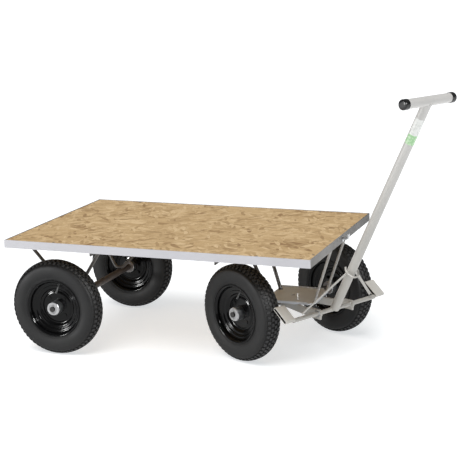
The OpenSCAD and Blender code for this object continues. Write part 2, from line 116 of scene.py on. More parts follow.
class Mat:
    """A Principled material with short ways to add procedural nodes."""

    def __init__(self, name):
        self.m = bpy.data.materials.new(name)
        self.m.use_nodes = True
        self.t = self.m.node_tree
        self.p = self.t.nodes["Principled BSDF"]

    def node(self, kind, **values):
        n = self.t.nodes.new("ShaderNode" + kind)
        for k, v in values.items():
            if k in n.inputs:
                n.inputs[k].default_value = v
            else:
                setattr(n, k, v)
        return n

    def link(self, a, b):
        self.t.links.new(a, b)

    def coords(self, scale=(1, 1, 1), turn=(0, 0, 0), move=(0, 0, 0)):
        tex = self.node("TexCoord")
        mapping = self.node("Mapping", Scale=scale, Rotation=turn, Location=move)
        self.link(tex.outputs["Object"], mapping.inputs["Vector"])
        return mapping.outputs["Vector"]

    def noise(self, scale, detail=4.0, rough=0.55, vector=None, distort=0.0):
        n = self.node("TexNoise", Scale=scale, Detail=detail, Roughness=rough, Distortion=distort)
        self.link(vector or self.coords(), n.inputs["Vector"])
        return n.outputs["Fac"]

    def ramp(self, value, *stops):
        n = self.node("ValToRGB")
        e = n.color_ramp.elements
        while len(e) < len(stops):
            e.new(0.5)
        for el, (at, colour) in zip(e, stops):
            el.position = at
            el.color = (*colour, 1.0) if len(colour) == 3 else colour
        self.link(value, n.inputs["Fac"])
        return n.outputs["Color"]

    def span(self, value, low, high, a=0.0, b=1.0):
        n = self.node("MapRange")
        n.clamp = True
        for k, v in (("From Min", low), ("From Max", high), ("To Min", a), ("To Max", b)):
            n.inputs[k].default_value = v
        self.link(value, n.inputs["Value"])
        return n.outputs["Result"]

    def math(self, op, a, b=None):
        n = self.node("Math", operation=op)
        for i, v in enumerate((a, b)):
            if v is None:
                continue
            if isinstance(v, (int, float)):
                n.inputs[i].default_value = v
            else:
                self.link(v, n.inputs[i])
        return n.outputs[0]

    def mix(self, fac, a, b, blend="MIX"):
        n = self.node("Mix", data_type="RGBA", blend_type=blend)
        for i, v in ((0, fac), (6, a), (7, b)):
            if isinstance(v, (int, float)):
                n.inputs[i].default_value = v
            elif isinstance(v, tuple):
                n.inputs[i].default_value = (*v, 1.0) if len(v) == 3 else v
            else:
                self.link(v, n.inputs[i])
        return n.outputs[2]

    def bump(self, height, strength, distance):
        n = self.node("Bump", Strength=strength, Distance=distance)
        self.link(height, n.inputs["Height"])
        self.link(n.outputs["Normal"], self.p.inputs["Normal"])

    def colour(self, out):
        self.link(out, self.p.inputs["Base Color"])

    def rough(self, out):
        self.link(out, self.p.inputs["Roughness"])


def paint(name, colour, dark, rough=(0.32, 0.46), peel=0.25, specular=0.5):
    """Powder coat: fine orange peel, faint dust and slightly darker worn patches."""
    m = Mat(name)
    broad = m.noise(7.0, 5.0)
    fine = m.noise(260.0, 3.0)
    m.colour(m.mix(m.span(broad, 0.35, 0.7), colour, dark))
    m.rough(m.span(broad, 0.3, 0.7, *rough))
    m.bump(fine, peel, 0.0004)
    m.p.inputs["Specular IOR Level"].default_value = specular
    return m.m


def metal(name, colour, dark, rough=(0.25, 0.42), scale=40.0, metallic=1.0):
    """Plated or drawn steel: cloudy colour, streaked roughness."""
    m = Mat(name)
    cloud = m.noise(scale, 5.0)
    m.p.inputs["Metallic"].default_value = metallic
    m.colour(m.mix(m.span(cloud, 0.35, 0.7), colour, dark))
    m.rough(m.span(m.noise(scale * 4, 3.0), 0.3, 0.7, *rough))
    m.bump(m.noise(scale * 9, 3.0), 0.15, 0.0003)
    return m.m


def strand_board(name):
    """Oriented strand board: layers of long flakes at many angles, each flake its own tone."""
    m = Mat(name)
    tex = m.node("TexCoord")
    warp = m.node("TexNoise", Scale=14.0, Detail=2.0)
    m.link(tex.outputs["Object"], warp.inputs["Vector"])
    offset = m.node("VectorMath", operation="SCALE")
    offset.inputs["Scale"].default_value = 0.02
    m.link(warp.outputs["Color"], offset.inputs[0])
    moved = m.node("VectorMath", operation="ADD")
    m.link(tex.outputs["Object"], moved.inputs[0])
    m.link(offset.outputs[0], moved.inputs[1])
    base = None
    height = None
    # Eight layers of flakes, each turned from the one below and a little smaller.
    for i in range(8):
        angle = 0.35 + i * 1.18
        long, wide = 0.115 - 0.006 * i, 0.027 - 0.0016 * i
        turned = m.node("Mapping", Rotation=(0, 0, angle), Location=(0.37 * i, 0.53 * i, 0))
        m.link(moved.outputs[0], turned.inputs["Vector"])
        stretched = m.node("Mapping", Scale=(1 / long, 1 / wide, 1.0), Location=(3.1 * i, 1.7 * i, 0.3 * i))
        m.link(turned.outputs["Vector"], stretched.inputs["Vector"])
        cells = m.node("TexVoronoi", feature="F1", Scale=1.0, Randomness=1.0)
        m.link(stretched.outputs["Vector"], cells.inputs["Vector"])
        split = m.node("SeparateColor")
        m.link(cells.outputs["Color"], split.inputs["Color"])
        fibre = m.node("Mapping", Scale=(60.0, 700.0, 1.0))
        m.link(turned.outputs["Vector"], fibre.inputs["Vector"])
        grain = m.noise(1.0, 3.0, vector=fibre.outputs["Vector"])
        tone = m.ramp(
            split.outputs["Red"],
            (0.0, (0.29, 0.175, 0.082)),
            (0.12, (0.43, 0.29, 0.145)),
            (0.35, (0.52, 0.36, 0.185)),
            (0.7, (0.59, 0.42, 0.225)),
            (1.0, (0.70, 0.52, 0.30)),
        )
        tone = m.mix(m.span(grain, 0.38, 0.66, 0.0, 0.35), tone, (0.36, 0.225, 0.10))
        shown = m.span(split.outputs["Green"], 0.5, 0.56)
        edge = m.span(cells.outputs["Distance"], 0.2, 0.5, 1.0, 0.0)
        layer = m.math("MULTIPLY", shown, m.span(edge, 0.1, 0.3))
        rise = m.math("MULTIPLY", layer, 0.3 + 0.09 * i)
        base = tone if base is None else m.mix(layer, base, tone)
        height = rise if height is None else m.math("MAXIMUM", height, rise)
    # Thin dark gaps between the flakes.
    for angle, offset_x in ((0.9, 0.0), (-0.5, 2.3), (2.2, 5.1)):
        turned = m.node("Mapping", Rotation=(0, 0, angle), Location=(offset_x, 0, 0))
        m.link(tex.outputs["Object"], turned.inputs["Vector"])
        thin = m.node("Mapping", Scale=(26.0, 130.0, 1.0))
        m.link(turned.outputs["Vector"], thin.inputs["Vector"])
        gap = m.noise(1.0, 2.0, vector=thin.outputs["Vector"])
        base = m.mix(m.span(gap, 0.7, 0.76, 0.0, 0.7), base, (0.17, 0.095, 0.04))
    m.colour(base)
    m.rough(m.span(height, 0.0, 1.0, 0.66, 0.52))
    m.p.inputs["Specular IOR Level"].default_value = 0.25
    m.bump(height, 0.35, 0.0012)
    return m.m


def rubber(name, dark=(0.0085, 0.0085, 0.009), dust_and_sheen=(0.015, 0.015, 0.0148), scale=14.0):
    """Matte rubber mottled with a lighter tone: dust on the tyre, and on the tread tops wear and painted
    highlight.
    """
    m = Mat(name)
    broad = m.noise(scale, 5.0)
    m.colour(m.mix(m.span(broad, 0.35, 0.7), dark, dust_and_sheen))
    m.rough(m.span(broad, 0.3, 0.7, 0.5, 0.66))
    m.p.inputs["Specular IOR Level"].default_value = 0.22
    m.bump(m.noise(420.0, 4.0), 0.3, 0.0004)
    return m.m


def frame_paint(name, colour, shade_tone, level):
    """Powder coat on the frame, with painted shade, a flat grey-brown, on whatever lies below the deck's edge."""
    m = Mat(name)
    broad = m.noise(7.0, 5.0)
    tex = m.node("TexCoord")
    split = m.node("SeparateXYZ")
    m.link(tex.outputs["Object"], split.inputs[0])
    low = m.span(split.outputs["Z"], level, level + 0.0006, 1.0, 0.0)
    clean = m.mix(m.span(broad, 0.35, 0.7), colour, tuple(0.93 * c for c in colour))
    # The film is painted shade: a dark grey-brown standing in for the shadow below the deck.
    film = m.mix(m.span(m.noise(23.0, 6.0), 0.3, 0.72), shade_tone, tuple(0.72 * c for c in shade_tone))
    m.colour(m.mix(low, clean, film))
    m.rough(m.span(broad, 0.3, 0.7, 0.36, 0.5))
    m.p.inputs["Specular IOR Level"].default_value = 0.4
    m.bump(m.noise(260.0, 3.0), 0.25, 0.0004)
    return m.m


def handle_paint(name, low, high):
    """Powder coat, scuffed, with painted shade that darkens it towards the floor."""
    m = Mat(name)
    broad = m.noise(7.0, 5.0)
    tex = m.node("TexCoord")
    split = m.node("SeparateXYZ")
    m.link(tex.outputs["Object"], split.inputs[0])
    # Painted shade: darker low down, lighter up the shaft.
    tone = m.mix(m.span(split.outputs["Z"], 0.3, 0.92), low, high)
    m.colour(m.mix(m.span(broad, 0.35, 0.7, 0.0, 0.12), tone, (0.25, 0.24, 0.22)))
    m.rough(m.span(broad, 0.3, 0.7, 0.3, 0.44))
    m.bump(m.noise(260.0, 3.0), 0.22, 0.0004)
    return m.m


def along(m, origin, direction):
    """Distance of a point from a plane through origin, along a direction."""
    tex = m.node("TexCoord")
    less = m.node("VectorMath", operation="SUBTRACT")
    m.link(tex.outputs["Object"], less.inputs[0])
    less.inputs[1].default_value = origin
    dot = m.node("VectorMath", operation="DOT_PRODUCT")
    m.link(less.outputs[0], dot.inputs[0])
    dot.inputs[1].default_value = direction
    return dot.outputs["Value"]


def label_film(name, origin, direction):
    """White film with a green lower band and faint grey patches, no lettering."""
    m = Mat(name)
    s = along(m, origin, direction)
    green = m.span(s, GREEN_BELOW - 0.0005, GREEN_BELOW + 0.0005, 1.0, 0.0)
    speck = m.noise(95.0, 2.0)
    white = m.mix(m.span(speck, 0.5, 0.62, 0.0, 0.35), (0.83, 0.84, 0.815), (0.46, 0.48, 0.45))
    leaf = m.mix(m.span(m.noise(120.0, 2.0), 0.45, 0.6), (0.36, 0.63, 0.33), (0.55, 0.74, 0.50))
    m.colour(m.mix(green, white, leaf))
    m.rough(m.span(speck, 0.3, 0.7, 0.2, 0.3))
    m.bump(speck, 0.05, 0.0002)
    return m.m


def shoe_paint(name, colour, center, normal, axis):
    """The handle's paint, with painted shade, nearly black, inside the flattened tube."""
    m = Mat(name)
    broad = m.noise(9.0, 5.0)
    across = m.math("ABSOLUTE", along(m, center, normal))
    lengthways = m.math("ABSOLUTE", along(m, center, axis))
    # The limits are the tube's inner half thickness and the half length of its flat sides.
    near_middle = m.span(across, 0.0041, 0.0043, 1.0, 0.0)
    between_bends = m.span(lengthways, 0.0346, 0.0348, 1.0, 0.0)
    inside = m.math("MULTIPLY", near_middle, between_bends)
    clean = m.mix(m.span(broad, 0.35, 0.7), colour, tuple(0.9 * c for c in colour))
    # Painted shade, nearly black, inside the tube.
    m.colour(m.mix(inside, clean, (0.012, 0.011, 0.010)))
    m.rough(m.span(broad, 0.3, 0.7, 0.36, 0.5))
    m.bump(m.noise(260.0, 3.0), 0.25, 0.0004)
    return m.m


def shaded_rail_paint(name):
    """The front rail's powder coat as a darker copy of the frame's paint, with painted shade that deepens towards
    its left end.
    """
    m = Mat(name)
    broad = m.noise(7.0, 5.0)
    # Painted shade: the rail is darker than the frame's paint, and darker still towards its left end.
    shade_leftwards = m.span(along(m, (0.0, 0.0, 0.0), (0.0, 1.0, 0.0)), -0.1, 0.38)
    tone = m.mix(shade_leftwards, (0.27, 0.26, 0.25), (0.075, 0.07, 0.065))
    m.colour(m.mix(m.span(broad, 0.35, 0.7, 0.0, 0.3), tone, (0.12, 0.115, 0.11)))
    m.rough(m.span(broad, 0.3, 0.7, 0.4, 0.55))
    m.p.inputs["Specular IOR Level"].default_value = 0.2
    m.bump(m.noise(260.0, 3.0), 0.25, 0.0004)
    return m.m


def axle_finish(name, direction, ends):
    """Matt brown bar whose ends, from inside the hubs outwards, are nearly black."""
    m = Mat(name)
    cloud = m.noise(40.0, 5.0)
    far = m.span(m.math("ABSOLUTE", along(m, tuple(STEER), direction)), ends, ends + 0.001)
    bar = m.mix(m.span(cloud, 0.35, 0.7), (0.085, 0.071, 0.064), (0.055, 0.045, 0.040))
    m.colour(m.mix(far, bar, (0.012, 0.011, 0.010)))
    m.rough(m.span(cloud, 0.3, 0.7, 0.35, 0.55))
    m.p.inputs["Specular IOR Level"].default_value = 0.35
    m.bump(m.noise(300.0, 3.0), 0.15, 0.0003)
    return m.m


UP = Vector((0, 0, 1))
HINGE = JOINTS["handle_tilt"]
PIVOT = Vector(HINGE["pos_m"])
AXLE_LINE = Vector(HINGE["axis"]).normalized()
AHEAD = AXLE_LINE.cross(UP)
LEAN = math.radians(28.2)  # the drawn handle's lean from upright
SHAFT = math.cos(LEAN) * UP + math.sin(LEAN) * AHEAD
STEER = Vector(JOINTS["steering_turn"]["pos_m"])


def steered(x, y, z):
    """A point of the steered frame, in metres, where X runs ahead and Y to the left."""
    return Vector((STEER.x, STEER.y, 0)) + x * AHEAD + y * AXLE_LINE + z * UP


GREY = (0.50, 0.485, 0.45)
# The brake shoes are flattened tubes that slope down ahead of the axle.
SHOE_SLOPE = math.radians(38)
SHOE_MIDDLE = steered(0.194, 0, 0.213)
SHOE_AXIS = math.cos(SHOE_SLOPE) * AHEAD - math.sin(SHOE_SLOPE) * UP
SHOE_NORMAL = math.sin(SHOE_SLOPE) * AHEAD + math.cos(SHOE_SLOPE) * UP
GREEN_BELOW = 0.774  # up the shaft from the handle's pivot
# Below this height the frame's paint turns to painted shade.
SHADED_BELOW = 0.4155  # just under the deck frame's lower legs
DARK_ENDS_FROM = {"rear": 0.34, "front": 0.26}  # inside the hubs, measured from the axle's middle

MATERIAL = {
    "deck_board": strand_board("strand_board"),
    # The second colour is the painted shade below the deck.
    "frame_paint": frame_paint("frame_paint", (0.525, 0.522, 0.55), (0.092, 0.083, 0.076), SHADED_BELOW),
    # From painted shade near the floor up to the lighter tone at the grip.
    "handle_paint": handle_paint("handle_paint", tuple(0.87 * c for c in GREY), (0.60, 0.59, 0.572)),
    "axle_steel": metal("axle_steel", (0.15, 0.12, 0.10), (0.09, 0.07, 0.058), (0.4, 0.6), metallic=0.4),
    "zinc": metal("zinc", (0.66, 0.67, 0.68), (0.52, 0.53, 0.55), (0.28, 0.45)),
    "bearing_steel": metal("bearing_steel", (0.60, 0.61, 0.63), (0.45, 0.46, 0.48), (0.22, 0.35)),
    "rim_paint": paint("rim_paint", (0.002, 0.002, 0.0022), (0.003, 0.003, 0.0032), (0.1, 0.16), 0.04, 0.17),
    "tyre_rubber": rubber("tyre_rubber"),
    "grip_rubber": paint("grip_rubber", (0.006, 0.006, 0.0065), (0.01, 0.01, 0.0105), (0.16, 0.26), 0.06),
    "label_film": label_film("label_film", tuple(PIVOT), tuple(SHAFT)),
}
# Tread tops: lighter, speckled rubber, partly real wear and partly painted highlight.
WORN_AND_LIT_RUBBER = rubber("worn_rubber_and_painted_highlight", (0.014, 0.014, 0.0145), (0.05, 0.05, 0.051), 150.0)
WASHER_ZINC = paint("washer_zinc", (0.50, 0.50, 0.505), (0.40, 0.40, 0.405), (0.22, 0.36), 0.08)
VALVE_GREY = paint("valve_rubber", (0.07, 0.07, 0.07), (0.045, 0.045, 0.045), (0.35, 0.5), 0.1)
COLLAR_STEEL = paint("collar_steel", (0.15, 0.135, 0.13), (0.10, 0.09, 0.085), (0.35, 0.5), 0.15)
# Painted light: a lighter, cooler copy of the frame's paint for the turntable plate, standing in for light the
# deck keeps from it.
LIT_PLATE_PAINT = paint("turntable_plate_painted_light", (0.77, 0.81, 0.87), (0.64, 0.67, 0.72))
# Painted shade: a slightly darker, warmer copy of the frame's paint for the front stays.
SHADED_STAY_PAINT = paint("front_stay_painted_shade", (0.50, 0.49, 0.47), (0.40, 0.385, 0.365))
BRIGHT_ZINC = metal("bright_zinc", (0.97, 0.97, 0.96), (0.88, 0.88, 0.87), (0.34, 0.46))
SHOE_PAINT = shoe_paint(
    "shoe_paint", tuple(1.12 * c for c in GREY), tuple(SHOE_MIDDLE), tuple(SHOE_NORMAL), tuple(SHOE_AXIS)
)

OWN_FINISH = {
    "rear_axle": axle_finish("rear_axle_steel", (0.0, 1.0, 0.0), DARK_ENDS_FROM["rear"]),
    "front_axle": axle_finish("front_axle_steel", tuple(AXLE_LINE), DARK_ENDS_FROM["front"]),
    "deck_screws": paint("dark_screws", (0.06, 0.055, 0.05), (0.04, 0.035, 0.03), (0.35, 0.5)),
    "left_brake_shoe": SHOE_PAINT,
    "right_brake_shoe": SHOE_PAINT,
    "upper_turntable_plate": LIT_PLATE_PAINT,
    "front_rail": shaded_rail_paint("front_rail_painted_shade"),
    "front_left_stay": SHADED_STAY_PAINT,
    "front_right_stay": SHADED_STAY_PAINT,
    "grease_nipple": BRIGHT_ZINC,
}
for name, node in NODES.items():
    node.data.materials.clear()
    node.data.materials.append(OWN_FINISH.get(name, MATERIAL[SLOT[name]]))

# ------------------------------------------------------------------ shape helpers

# A tread block's outline, in half widths across the tread and half lengths along it.
BLOCK_OUTLINE = ((-1, -1), (0, -1), (1, -1), (1, 0), (1, 1), (0, 1), (-1, 1), (-1, 0))
BLOCK_SIDES = len(BLOCK_OUTLINE)
BLOCK_FACES = 3 * BLOCK_SIDES + 1  # its top, two bands of sides and its foot


def piece(name, verts, faces, body, slot, smooth=35.0, place=None, stands_for=(), material=None, tops=None):
    """A named piece that rides on a body and takes a slot's finish.

    The shape is a list of vertices and faces, or a mesh made before. tops is a finish for the tops of the
    tread blocks, with the number of the first block's first face.
    """
    if isinstance(verts, bpy.types.Mesh):
        mesh = verts
    else:
        mesh = bpy.data.meshes.new(name)
        mesh.from_pydata([tuple(v) for v in verts], [], faces)
        mesh.validate()
        bm = bmesh.new()
        bm.from_mesh(mesh)
        bmesh.ops.recalc_face_normals(bm, faces=bm.faces)
        limit = math.radians(smooth)
        for f in bm.faces:
            f.smooth = True
        for e in bm.edges:
            if len(e.link_faces) == 2 and e.calc_face_angle(0.0) > limit:
                e.smooth = False
        bm.to_mesh(mesh)
        bm.free()
        mesh.materials.append(material or MATERIAL[slot])
        if tops:
            mesh.materials.append(tops[0])
            for f in mesh.polygons:
                if f.index >= tops[1] and (f.index - tops[1]) % BLOCK_FACES < BLOCK_SIDES:
                    f.material_index = 1
    obj = bpy.data.objects.new(name, mesh)
    scene.collection.objects.link(obj)
    if place is not None:
        obj.matrix_world = place
    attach(obj, body)
    if stands_for:
        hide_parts(*stands_for)
    return obj


def rounded(points, cut, steps=4):
    """A polyline with its inner corners rounded."""
    out = [Vector(points[0])]
    for a, b, c in zip(points, points[1:], points[2:]):
        a, b, c = Vector(a), Vector(b), Vector(c)
        ca = min(cut, 0.45 * (a - b).length)
        cc = min(cut, 0.45 * (c - b).length)
        p, q = b + (a - b).normalized() * ca, b + (c - b).normalized() * cc
        for i in range(steps + 1):
            t = i / steps
            out.append((1 - t) ** 2 * p + 2 * t * (1 - t) * b + t * t * q)
    out.append(Vector(points[-1]))
    return out


def sheet_loop(points, thickness):
    """Closed loop round a polyline of sheet."""
    left, back = [], []
    for i, p in enumerate(points):
        a, b = points[max(i - 1, 0)], points[min(i + 1, len(points) - 1)]
        d = (b - a).normalized()
        n = Vector((-d.y, d.x)) * thickness / 2
        left.append(p + n)
        back.append(p - n)
    return left + back[::-1]


def lathe(loop, segments):
    """Turns a closed loop of (radius, out) about the local Y axis. Returns vertices and faces."""
    verts, faces = [], []
    n = len(loop)
    for k in range(segments):
        a = 2 * math.pi * k / segments
        verts += [(r * math.cos(a), y, r * math.sin(a)) for r, y in loop]
    for k in range(segments):
        k2 = (k + 1) % segments
        for i in range(n):
            j = (i + 1) % n
            faces.append([k * n + i, k * n + j, k2 * n + j, k2 * n + i])
    return verts, faces


def facing(out, middle):
    """Places a shape made about the Y axis at a point, with Y pointing out."""
    return Matrix.Translation(middle) @ Matrix((out.cross(UP), out, UP)).transposed().to_4x4()


def add(verts, faces, more):
    """Adds one closed shell to a list of vertices and faces."""
    v, f = more
    base = len(verts)
    verts += v
    faces += [[i + base for i in face] for face in f]


def tube(points, radii, sides=12, closed=False):
    """Round bar along points; ends are capped unless it is closed."""
    pts = [Vector(p) for p in points]
    verts, faces = [], []
    n = len(pts)
    ref = None
    for i, p in enumerate(pts):
        a = pts[i - 1] if (i > 0 or closed) else p
        b = pts[(i + 1) % n] if (i < n - 1 or closed) else p
        d = (b - a).normalized()
        if ref is None:
            ref = d.orthogonal().normalized()
        ref = (ref - ref.dot(d) * d).normalized()
        side = d.cross(ref)
        r = radii[i] if isinstance(radii, (list, tuple)) else radii
        for k in range(sides):
            a2 = 2 * math.pi * k / sides
            verts.append(p + r * (math.cos(a2) * ref + math.sin(a2) * side))
    for i in range(n if closed else n - 1):
        j = (i + 1) % n
        for k in range(sides):
            k2 = (k + 1) % sides
            faces.append([i * sides + k, i * sides + k2, j * sides + k2, j * sides + k])
    if not closed:
        faces.append(list(range(sides))[::-1])
        faces.append([(n - 1) * sides + k for k in range(sides)])
    return verts, faces


# ------------------------------------------------------------------ wheels

MM = 0.001
# The wheels' shapes are in millimetres: radius, and distance out from the wheel's middle plane.
WIDEST, HALF, TYRE = 141.0, 41.0, 182.0  # radius where the tyre is widest, half width there, outer radius
SQUARENESS = 0.8
CAVITY_DEPTH, CAVITY_HALF = 31, 33  # from the widest radius to the cavity's crown, and its half width
BEAD_RADIUS, BEAD_OUT, BEAD_IN = 101.6, 28.5, 22
WALL_LEAN, WALL_SPAN = 9, 35  # the wall leans in by the first over the second
# The wall's smooth stretches and ribs, from the bead outwards: radius and height.
WALL = (
    (107, 0), (109.5, 0.1), (110.6, 0.8), (112.2, 0.8), (113.2, 0), (116.5, 0), (117.3, 0.5),
    (118.4, 0.5), (119.2, 0), (124, 0), (129, 0), (134, 0), (138.5, 0),
)
# Depth of the grooves, and how far round the section it starts to fade and is gone.
GROOVE, SHOULDER, SHOULDER_END = 4.3, 33, 43
TREAD_STATIONS = (58, 54, 50, 46, 43, 41, 39, 37, 35, 33, 29, 25, 20, 15, 10, 5, 0)
PITCHES = 58
# Rows of blocks: middle across the tread, half width, half length, shift in pitches.
BLOCK_ROWS = (
    (0.0, 5.4, 6.4, 0.0), (13.4, 5.2, 6.4, 0.5), (-13.4, 5.2, 6.4, 0.5),
    (27.6, 6.2, 5.6, 0.0), (-27.6, 6.2, 5.6, 0.0),
)
BLOCK_LEVELS = ((0.0, -0.7), (0.8, 0.0), (5.2, 0.7))  # depth, and growth of the outline
BLOCK_ROOT = 1.4  # how far a block's foot goes below the groove's floor


def crown(t, radial=TYRE - WIDEST, across=HALF):
    """Point of the tyre's outer half section, as radius and distance from the wheel's middle plane."""
    t = math.radians(t)
    radius = WIDEST + radial * max(math.sin(t), 0) ** SQUARENESS
    return Vector((radius, across * max(math.cos(t), 0) ** SQUARENESS))


ARC = [crown(90 - 90 * i / 180) for i in range(181)]
ARC_LENGTH = [0.0]
for p, q in zip(ARC, ARC[1:]):
    ARC_LENGTH.append(ARC_LENGTH[-1] + (q - p).length)


def surface(s, depth):
    """Point of the tyre's section at a distance s from the middle of the tread, below its surface."""
    side = 1 if s >= 0 else -1
    a = min(abs(s), ARC_LENGTH[-1] - 0.01)
    i = next(k for k in range(180) if ARC_LENGTH[k + 1] >= a)
    f = (a - ARC_LENGTH[i]) / (ARC_LENGTH[i + 1] - ARC_LENGTH[i])
    p = ARC[i].lerp(ARC[i + 1], f)
    lo, hi = ARC[max(i - 3, 0)], ARC[min(i + 4, 180)]
    d = (hi - lo).normalized()
    n = Vector((d.y, -d.x))
    if n.x < 0:
        n = -n
    p = p - n * depth
    return Vector((p.x, side * p.y))


def tread_depth(s):
    """Depth of the grooves at a distance s from the middle of the tread."""
    if abs(s) < SHOULDER:
        return GROOVE
    return max(0.0, GROOVE * (SHOULDER_END - abs(s)) / (SHOULDER_END - SHOULDER))


def wall_width(radius, half_width):
    """Half width of the side wall, which curves in towards the bead."""
    return half_width - WALL_LEAN * ((WIDEST - radius) / WALL_SPAN) ** 2


def tyre_mesh():
    """Carcass with its grooves, then the tread blocks as closed shells of their own."""
    verts, faces = [], []
    side = [Vector((BEAD_RADIUS, BEAD_OUT)), Vector((104.5, 31.2))]
    side += [Vector((r, wall_width(r, HALF) + rib)) for r, rib in WALL]
    outer = side + [surface(s, tread_depth(s)) for s in TREAD_STATIONS]
    outer += [Vector((p.x, -p.y)) for p in reversed(outer[:-1])]
    inner = [crown(t, CAVITY_DEPTH, CAVITY_HALF) for t in range(90, -1, -10)]
    inner += [Vector((r, wall_width(r, CAVITY_HALF))) for r in (133, 125, 117, 110)]
    inner += [Vector((BEAD_RADIUS, BEAD_IN))]
    back = [Vector((p.x, -p.y)) for p in reversed(inner)] + inner[1:]
    loop = [(p.x * MM, p.y * MM) for p in outer + back]
    add(verts, faces, lathe(loop, 144))
    for middle, half_width, half_length, shift in BLOCK_ROWS:
        radius = surface(middle, 0).x
        half_angle = half_length / radius
        for k in range(PITCHES):
            a0 = 2 * math.pi * (k + shift) / PITCHES
            ring = []
            for depth, grow in BLOCK_LEVELS:
                for ds, da in BLOCK_OUTLINE:
                    s = middle + ds * (half_width + grow)
                    d = min(depth, tread_depth(s) + BLOCK_ROOT) if depth > GROOVE else depth
                    p = surface(s, d)
                    a = a0 + da * (half_angle + grow / radius)
                    ring.append((p.x * MM * math.cos(a), p.y * MM, p.x * MM * math.sin(a)))
            top = surface(middle, 0)
            ring.append((top.x * MM * math.cos(a0), top.y * MM, top.x * MM * math.sin(a0)))
            block = [[3 * BLOCK_SIDES, i, (i + 1) % BLOCK_SIDES] for i in range(BLOCK_SIDES)]
            for level in (0, BLOCK_SIDES):
                for i in range(BLOCK_SIDES):
                    j = (i + 1) % BLOCK_SIDES
                    block.append([level + i, level + BLOCK_SIDES + i, level + BLOCK_SIDES + j, level + j])
            block.append([2 * BLOCK_SIDES + i for i in range(BLOCK_SIDES)])
            add(verts, faces, (ring, block))
    return verts, faces


# One pressed half of a rim, from its edge to the hub.
RIM_SHEET, RIM_BEND = 2.2, 2.6
RIM_BAND = (
    (110, 36.5), (106.5, 36.8), (103.5, 34), (100.5, 30), (100.5, 21), (97, 17), (88, 15.5), (84, 11),
    (74, 9.5), (70, 4), (65, 1.25), (61, 1.6), (57, 3.6), (53, 4.6), (26.2, 4.6),
)


def rim_mesh(side):
    """One pressed half of a rim."""
    loop = sheet_loop(rounded(RIM_BAND, RIM_BEND), RIM_SHEET)
    return lathe([(p.x * MM, side * p.y * MM) for p in loop], 128)


def hub_mesh():
    """Hub barrel with a counterbore for a bearing at each end."""
    loop = [
        (25, -37), (25, 37), (24, 38), (23.6, 38), (23.6, 23),
        (15, 23), (15, -23), (23.6, -23), (23.6, -38), (24, -38),
    ]
    return lathe([(r * MM, y * MM) for r, y in loop], 64)


def flange_mesh():
    """Flange of the hub, to which the rim halves are bolted."""
    loop = [
        (24.9, -2.4), (57.2, -2.4), (58, -3.2), (58, -5.6),
        (57.2, -6.35), (30, -6.35), (27, -8.0), (24.9, -11),
    ]
    return lathe([(r * MM, y * MM) for r, y in loop], 96)


VALVE_LEAN = math.radians(12)
VALVE_FOOT, VALVE_TIP = (95.5, 15.8), (61, 33.0)
# Start and end along the stem, and radius, of its base, stem, neck and cap.
VALVE_PARTS = ((0.0, 0.12, 6.5), (0.1, 0.62, 3.4), (0.6, 0.66, 3.0), (0.64, 1.0, 4.1))


def valve_mesh():
    """Valve stem and cap, leaning out from the rim's well towards the hub."""
    verts, faces = [], []
    foot, tip = (
        Vector((-radius * math.sin(VALVE_LEAN), out, radius * math.cos(VALVE_LEAN))) * MM
        for radius, out in (VALVE_FOOT, VALVE_TIP)
    )
    for a, b, r in VALVE_PARTS:
        p, q = foot.lerp(tip, a), foot.lerp(tip, b)
        ends = [p, p.lerp(q, 0.06), p.lerp(q, 0.94), q]
        add(verts, faces, tube(ends, [r * MM * 0.88, r * MM, r * MM, r * MM * 0.85], 20))
    return verts, faces


# The four wheels share one mesh for each part; the left and right ones face outwards.
shared = {}
for wheel in WHEELS:
    joint = JOINTS[f"{wheel}_wheel_spin"]
    out = Vector(joint["axis"]).normalized() * (1 if "left" in wheel else -1)
    place = facing(out, Vector(joint["pos_m"]))
    body = f"{wheel}_wheel"
    for part, build, slot_name, smooth, stands_for in (
        ("tread_and_carcass", tyre_mesh, "tyre_rubber", 30, ("tyre",)),
        ("outer_rim_pressing", lambda: rim_mesh(1), "rim_paint", 50, ("outer_rim",)),
        ("inner_rim_pressing", lambda: rim_mesh(-1), "rim_paint", 50, ("inner_rim",)),
        ("hub_barrel", hub_mesh, "zinc", 30, ("hub",)),
        ("hub_flange", flange_mesh, "rim_paint", 30, ()),
        ("valve_stem", valve_mesh, "grip_rubber", 40, ()),
    ):
        solids = [f"{wheel}_{n}" for n in stands_for]
        if part not in shared:
            verts, faces = build()
            own = VALVE_GREY if part == "valve_stem" else None
            first_block = len(faces) - len(BLOCK_ROWS) * PITCHES * BLOCK_FACES
            tops = (WORN_AND_LIT_RUBBER, first_block) if part == "tread_and_carcass" else None
            made = piece(f"{wheel}_{part}", verts, faces, body, slot_name, smooth, place, solids, own, tops)
            shared[part] = made.data
        else:
            piece(f"{wheel}_{part}", shared[part], None, body, slot_name, smooth, place, solids)

# ------------------------------------------------------------------ axle ends

HUB_HALF_GAP = 38.3  # from a wheel's middle plane to the washer or collar beside it
BORE, WASHER_RADIUS, WASHER_CORNER = 10.02, 24, 23.4
PIN_PLACE, PIN_WIRE, PIN_EYE = 5.0, 0.95, 3.1  # split pin: place beyond the gap, radii of wire and eye


def collar_mesh(middle, outwards, track):
    """Collar on the inner side of a wheel."""
    inner = track / 2 - HUB_HALF_GAP
    loop = [
        (BORE, inner - 3), (WASHER_CORNER, inner - 3), (WASHER_RADIUS, inner - 2.4),
        (WASHER_RADIUS, inner - 0.6), (WASHER_CORNER, inner), (BORE, inner),
    ]
    verts, faces = lathe([(r * MM, y * MM) for r, y in loop], 72)
    place = facing(outwards, middle)
    return [place @ Vector(v) for v in verts], faces


